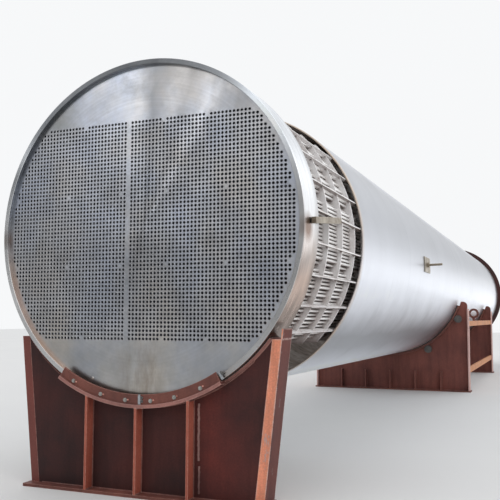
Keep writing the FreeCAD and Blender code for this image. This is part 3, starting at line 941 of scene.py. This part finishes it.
def turned(profile, sides, place, outwards, twist=0.0):
    # small turned or hexagonal part: profile is a list of (height, radius) standing on place
    outwards = mathutils.Vector(outwards).normalized()
    across = outwards.orthogonal().normalized()
    other = outwards.cross(across)
    verts = []
    for height, radius in profile:
        for k in range(sides):
            turn = twist + 2 * math.pi * k / sides
            offset = across * (radius * math.cos(turn)) + other * (radius * math.sin(turn))
            verts.append(tuple(mathutils.Vector(place) + outwards * height + offset))
    ends = [list(range(sides))[::-1], list(range(len(verts) - sides, len(verts)))]
    return verts, bands(len(profile), sides) + ends


def hexBolt(place, outwards, size, twist):
    # washer and hexagonal head, size is the washer's radius
    washer = [(0, size), (0.12 * size, size), (0.15 * size, 0.96 * size), (0.15 * size, 0.5 * size)]
    head = [(0.14 * size, 0.74 * size), (0.16 * size, 0.80 * size), (0.58 * size, 0.80 * size),
            (0.66 * size, 0.72 * size)]
    stub = [(0.60 * size, 0.36 * size), (0.68 * size, 0.36 * size), (0.70 * size, 0.33 * size)]
    return merged([turned(washer, 24, place, outwards), turned(head, 6, place, outwards, twist),
                   turned(stub, 14, place, outwards)])


ripple = {"sides": 6, "depth": 0.13, "perPoint": 2.4, "spread": (0.90, 1.08)}


def weldBead(points, size, reference=(0, 1, 0), closed=False):
    # rippled run along the points with a round section and closed ends
    reference = mathutils.Vector(reference)
    sides = ripple["sides"]
    verts = []
    count = len(points)
    for k, point in enumerate(points):
        before = points[k - 1] if closed or k else point
        after = points[(k + 1) % count] if closed or k < count - 1 else point
        along = (mathutils.Vector(after) - mathutils.Vector(before)).normalized()
        side = along.cross(reference).normalized()
        swell = 1 + ripple["depth"] * math.sin(k * ripple["perPoint"])
        radius = size * swell * random.uniform(*ripple["spread"])
        for n in range(sides):
            turn = 2 * math.pi * n / sides
            offset = side * (radius * math.cos(turn)) + along.cross(side) * (radius * math.sin(turn))
            verts.append(tuple(mathutils.Vector(point) + offset))
    faces = bands(count, sides, closed=closed)
    if not closed:
        faces += [list(range(sides))[::-1], list(range(len(verts) - sides, len(verts)))]
    return verts, [face[::-1] for face in faces]


def lineRun(start, end, step=0.009):
    start, end = mathutils.Vector(start), mathutils.Vector(end)
    count = max(3, int((end - start).length / step))
    return [tuple(start.lerp(end, k / count)) for k in range(count + 1)]


def arcRun(radius, y, first, last, step=0.009):
    count = max(3, int(radius * math.radians(last - first) / step))
    points = []
    for k in range(count + 1):
        x, z = aroundAxis(radius, first + (last - first) * k / count)
        points.append((x, y, z))
    return points


random.seed(11)
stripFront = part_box("retaining_strip_left")[0].y

stripFittings = {
    "boltAngles": (-25.9, -14.1, -4.3, 5.4, 14.3, 24.2),   # degrees from straight down
    "boltRadius": 1.336,
    "washer": 0.0165,
    "tack": (0.026, 0.0075),      # distance from its bolt, radius
    "tackInset": 0.004,
    "jointAngle": 1.25,
    "jointWidth": 0.020,
    "jointReach": (1.286, 1.361),
    "jointProud": 0.006,
    "nutInsets": (0.024, 0.026),  # from the joint plate's two ends
    "nutOffset": 0.022,
    "nut": [(0, 0.0115), (0.008, 0.0115), (0.0095, 0.0095)],
    "clipAngle": 32.6,
    "clipHalf": 0.35,
    "clipReach": (1.300, 1.361),
    "clipBolt": (1.316, 0.5, 0.016),      # radius, degrees past the clip, washer
    "shimReach": (1.289, 1.2915),
    "shimAngles": (-30.8, -27.6),
}
faceTacks = [
    # radius, degrees, sides and profile of the weld dabs on the drilled face
    (1.262, -20.7, 14, [(-0.001, 0.013), (0.002, 0.012), (0.0045, 0.006)]),
    (1.255, -22.0, 10, [(-0.001, 0.006), (0.002, 0.005), (0.003, 0.002)]),
]
forwards = (0, -1, 0)


def arcBlock(radii, angles, ys, steps=8):
    # bent bar between two radii, two angles and two y
    verts = []
    for k in range(steps + 1):
        degrees = angles[0] + (angles[1] - angles[0]) * k / steps
        for radius, y in ((radii[0], ys[0]), (radii[1], ys[0]), (radii[1], ys[1]), (radii[0], ys[1])):
            x, z = aroundAxis(radius, degrees)
            verts.append((x, y, z))
    return verts, bands(steps + 1, 4) + [[3, 2, 1, 0], list(range(steps * 4, steps * 4 + 4))]


def onFront(radius, degrees, y=stripFront, aside=0.0):
    x, z = aroundAxis(radius, degrees)
    return x + aside, y, z


def stripDetails():
    fit = stripFittings
    bolts = []
    tacks = []
    away, size = fit["tack"]
    blob = [(-0.002, size), (size * 0.4, size * 0.92), (size * 0.8, size * 0.6), (size, size * 0.2)]
    for degrees in fit["boltAngles"]:
        place = onFront(fit["boltRadius"], degrees)
        bolts.append(hexBolt(place, forwards, fit["washer"], random.uniform(0, 1)))
        beside = degrees + math.degrees(away / fit["boltRadius"])
        tacks.append(turned(blob, 12, onFront(fit["boltRadius"] - fit["tackInset"], beside), forwards))
    low, high = fit["jointReach"]
    halfTurn = math.degrees(fit["jointWidth"] / 2 / low)
    joint = arcBlock((low, high), (fit["jointAngle"] - halfTurn, fit["jointAngle"] + halfTurn),
                     (stripFront, stripFront - fit["jointProud"]), 2)
    nuts = []
    for radius in (low + fit["nutInsets"][0], high - fit["nutInsets"][1]):
        place = onFront(radius, fit["jointAngle"], aside=fit["nutOffset"])
        nuts.append(turned(fit["nut"], 6, place, forwards, random.uniform(0, 1)))
    # clip holding the strip's right end
    angle = fit["clipAngle"]
    clip = arcBlock(fit["clipReach"], (angle - fit["clipHalf"], angle + fit["clipHalf"]),
                    (stripFront + 0.010, stripFront - 0.005), 2)
    radius, past, washer = fit["clipBolt"]
    nuts.append(hexBolt(onFront(radius, angle + past, stripFront + 0.006), forwards, washer, 0.4))
    shim = arcBlock(fit["shimReach"], fit["shimAngles"], (stripFront + 0.001, stripFront + 0.011), 6)
    sets = [("strip_bolts", merged(bolts), "bolt", "boss_steel"),
            ("strip_tacks", merged(tacks), "paintedWeld", "saddle_primer"),
            ("strip_joint_plate", joint, "greyPaint", "boss_steel"),
            ("strip_nuts", merged(nuts), "darkBolt", "boss_steel"),
            ("strip_clip", merged([clip, shim]), "greyPaint", "boss_steel")]
    for name, (verts, faces), look, slotName in sets:
        newPiece(name, verts, faces, look, slotName, smooth=35)
    dabs = [turned(profile, sides, onFront(radius, degrees, frontFace), forwards)
            for radius, degrees, sides, profile in faceTacks]
    newPiece("face_tack", *merged(dabs), "weld", "machined_stainless", smooth=50)


stripDetails()
print("strip bolted down")


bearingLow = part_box("front_bearing_plate")[0]
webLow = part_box("front_saddle_web")[0]
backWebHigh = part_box("front_saddle_rear_web")[1]
ribLow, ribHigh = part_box("front_saddle_ribs")
postLow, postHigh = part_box("front_post_right")

welds = {
    "size": 0.0065,
    "lift": 0.001,            # bead centres stand off the plates
    "footLift": 0.002,
    "ribThickness": 0.020,
    "besideRib": 0.0115,      # from a rib's middle to its bead
    "ribTip": 0.006,          # runs stop short of a rib's outer edge
    "backWebFace": 0.022,     # from the back of the rear web to its front bead
    "webReach": 0.92,
    "arcStops": (5.0, 1.5),   # degrees short of the saddle's and the cradle's top
    "cradleSideTop": 1.52,
    # old weld runs left on the web: (x, from height, to height, width)
    "scrapes": [(0.500, 0.30, 0.72, 0.010), (0.507, 0.06, 0.26, 0.008)],
    "flange": 0.008,
    "bracket": 0.004,
}


def layWelds(name, runs, look="primerWeld", slotName="saddle_primer"):
    newPiece(name, *merged(runs), look, slotName, smooth=60)


def saddleWeldRuns():
    size, tip = welds["size"], welds["ribTip"]
    radius = axisZ - bearingLow.z + welds["lift"]
    reachTop = math.degrees(math.atan2(postLow.x, axisZ - postHigh.z)) - welds["arcStops"][0]
    spacing = (ribHigh.x - ribLow.x - welds["ribThickness"]) / 2
    webFaces = (webLow.y - welds["lift"], backWebHigh.y - welds["backWebFace"])
    footZ = webLow.z + welds["footLift"]
    foot = welds["webReach"]
    runs = [weldBead(arcRun(radius, y, -reachTop, reachTop), size) for y in webFaces]
    runs += [weldBead(lineRun((-foot, y, footZ), (foot, y, footZ)), size) for y in webFaces]
    front, near = webLow.y - 0.002, webLow.y - 0.004
    for number in (-1, 0, 1):
        for side in (-1, 1):
            x = number * spacing + side * welds["besideRib"]
            top = axisZ - math.sqrt(radius ** 2 - x * x) - tip
            runs.append(weldBead(lineRun((x, front, footZ), (x, front, top)), size))
            for z in (footZ, top + 0.004):
                runs.append(weldBead(lineRun((x, ribLow.y + tip, z), (x, near, z)), size, (0, 0, 1)))
    layWelds("saddle_weld_beads", runs)
    scrapes = []
    for x, low, high, width in welds["scrapes"]:
        points = [(x + random.uniform(-0.22, 0.22) * width, y, z) for _, y, z in
                  lineRun((x, webLow.y, low), (x, webLow.y, high), 0.014)]
        scrapes.append(weldBead(points, width))
    layWelds("saddle_old_welds", scrapes, "oldWeld")


def cradleWeldRuns(end, frontwards):
    # frontwards is -1 where the ribs stand in front of the plate
    plateLow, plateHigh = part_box("cradle_%s_plate" % end)
    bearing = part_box("cradle_%s_bearing" % end)
    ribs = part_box("cradle_%s_ribs" % end)
    size, lift, tip = welds["size"], welds["lift"], welds["ribTip"]
    radius = axisZ - bearing[0].z + lift
    reach = math.degrees(math.acos((axisZ - bearing[1].z) / radius)) - welds["arcStops"][1]
    near, far = plateLow.y - lift, plateHigh.y + lift
    ribTip = ribs[0].y + tip
    if frontwards > 0:
        near, far, ribTip = far, near, ribs[1].y - tip
    footZ = plateLow.z + welds["footLift"]
    sideX = plateHigh.x - 0.002
    footX = sideX - 0.01
    runs = []
    for y in (near, far):
        runs.append(weldBead(arcRun(radius, y, -reach, reach), size))
        runs.append(weldBead(lineRun((-footX, y, footZ), (footX, y, footZ)), size))
        for x in (-sideX, sideX):
            runs.append(weldBead(lineRun((x, y, footZ), (x, y, welds["cradleSideTop"])), size))
    spacing = (ribs[1].x - ribs[0].x - welds["ribThickness"]) / 4
    for number in range(-2, 3):
        for side in (-1, 1):
            x = number * spacing + side * welds["besideRib"]
            runs.append(weldBead(lineRun((x, near, footZ), (x, near, ribs[1].z - 0.004)), size))
            runs.append(weldBead(lineRun((x, near, footZ), (x, ribTip, footZ)), size, (0, 0, 1)))
    layWelds("cradle_%s_weld_beads" % end, runs)


def steelWelds():
    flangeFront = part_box("rear_flange")[0].y
    circle = arcRun(outerRadius, flangeFront - 0.002, 0, 360, 0.012)[:-1]
    runs = [weldBead(circle, welds["flange"], closed=True)]
    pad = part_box("shell_bracket_right")
    low, high = [math.degrees(math.asin((corner.z - axisZ) / outerRadius)) for corner in pad]
    for first, last in ((-90 - high, -90 - low), (90 + low, 90 + high)):
        run = arcRun(outerRadius + welds["lift"], pad[0].y + 0.004, first, last)
        runs.append(weldBead(run, welds["bracket"]))
    layWelds("steel_weld_beads", runs, "weld", "brushed_stainless")


saddleWeldRuns()
cradleWeldRuns("front", -1)
cradleWeldRuns("rear", 1)
steelWelds()
print("welds laid")


studio = {
    "floorReach": 60.0,
    "floorTones": ((0.74, 0.74, 0.74, 1), (0.80, 0.80, 0.79, 1)),
    "world": 1.0,
    "stripDistance": 9.0,
    "stripHeight": 1.15,      # above the axis, on the blank top of the drilled face
    "stripLength": 4.0,
    # across, width, power
    "strips": [(-0.62, 0.5, 9.0), (-0.05, 0.45, 14.0), (0.35, 0.30, 7.0), (0.85, 0.6, 12.0)],
    "lamps": {
        # place, aim, width, height, power
        "inside_fill": ((-0.25, shellLow.y + 3.6, axisZ - 1.0), (-0.25, shellLow.y + 3.6, 0), 1.4, 4.4, 5.0),
        "rear_glow": ((3.6, shellHigh.y + 9.0, axisZ + 0.3), (1.3, 6.0, axisZ), 3.0, 3.0, 17.0),
        "right_key": ((9.0, frontFace - 4.0, 7.0), (0, 0, axisZ), 5.0, 5.0, 150.0),
    },
    "backdrop": (0.93, 0.94, 0.95, 1),
    "skyTint": (0.975, 0.985, 1.0),
    "sky": {"front": [(0.0, 0.16), (0.22, 0.26), (0.45, 0.75), (1.0, 1.15)],
            "back": [(0.0, 1.50), (0.10, 1.12), (0.19, 0.95), (0.33, 1.35), (0.60, 1.0), (1.0, 1.1)]},
}


def studioFloor():
    reach = studio["floorReach"]
    mesh = bpy.data.meshes.new("floor")
    mesh.from_pydata([(-reach, -reach, 0), (reach, -reach, 0), (reach, reach, 0), (-reach, reach, 0)],
                     [], [(0, 1, 2, 3)])
    floor = bpy.data.objects.new("floor", mesh)
    scene.collection.objects.link(floor)
    material, add, plug = startMaterial("floor_paint", Roughness=0.85)
    plug(blendColour(add, noise(add, objectPlace(add), 0.4, 5.0), *studio["floorTones"]), "Base Color")
    mesh.materials.append(material)


def studioWorld():
    # bright overhead and behind the object, dimmer at eye level in front of it
    world = bpy.data.worlds.new("studio")
    scene.world = world
    world.use_nodes = True
    tree = world.node_tree
    add = nodeAdder(tree)
    split = add("SeparateXYZ", {0: add("TexCoord").outputs["Generated"]})
    height = split.outputs["Z"]
    skies = {}
    for side, stops in studio["sky"].items():
        skies[side] = toneRamp(add, height, [(place, tuple(tone * part for part in studio["skyTint"]) + (1,))
                                             for place, tone in stops])
    behind = rescale(add, split.outputs["Y"], -0.35, 0.55)
    sky = blendColour(add, behind, skies["front"], skies["back"])
    seen = blendColour(add, add("LightPath").outputs["Is Camera Ray"], sky, studio["backdrop"])
    background = tree.nodes["Background"]
    tree.links.new(seen, background.inputs["Color"])
    background.inputs["Strength"].default_value = studio["world"]


def areaLight(name, place, target, width, height, power):
    light = bpy.data.lights.new(name, "AREA")
    light.shape = "RECTANGLE"
    light.size = width
    light.size_y = height
    light.energy = power
    lamp = bpy.data.objects.new(name, light)
    scene.collection.objects.link(lamp)
    lamp.visible_camera = False
    aim = (mathutils.Vector(target) - mathutils.Vector(place)).to_track_quat("-Z", "Y")
    lamp.matrix_world = mathutils.Matrix.Translation(place) @ aim.to_matrix().to_4x4()


def frontStrips():
    # each strip stands where the blank top of the drilled face mirrors it
    for number, (across, width, power) in enumerate(studio["strips"], start=1):
        glint = mathutils.Vector((across, frontFace, axisZ + studio["stripHeight"]))
        ray = (glint - camera.matrix_world.translation).normalized()
        ray.y = -ray.y
        areaLight("front_strip_%d" % number, glint + ray * studio["stripDistance"], glint,
                  width, studio["stripLength"], power)


studioFloor()
studioWorld()
frontStrips()
for name, lamp in studio["lamps"].items():
    areaLight(name, *lamp)
scene.view_settings.view_transform = "Standard"
print("studio lit")
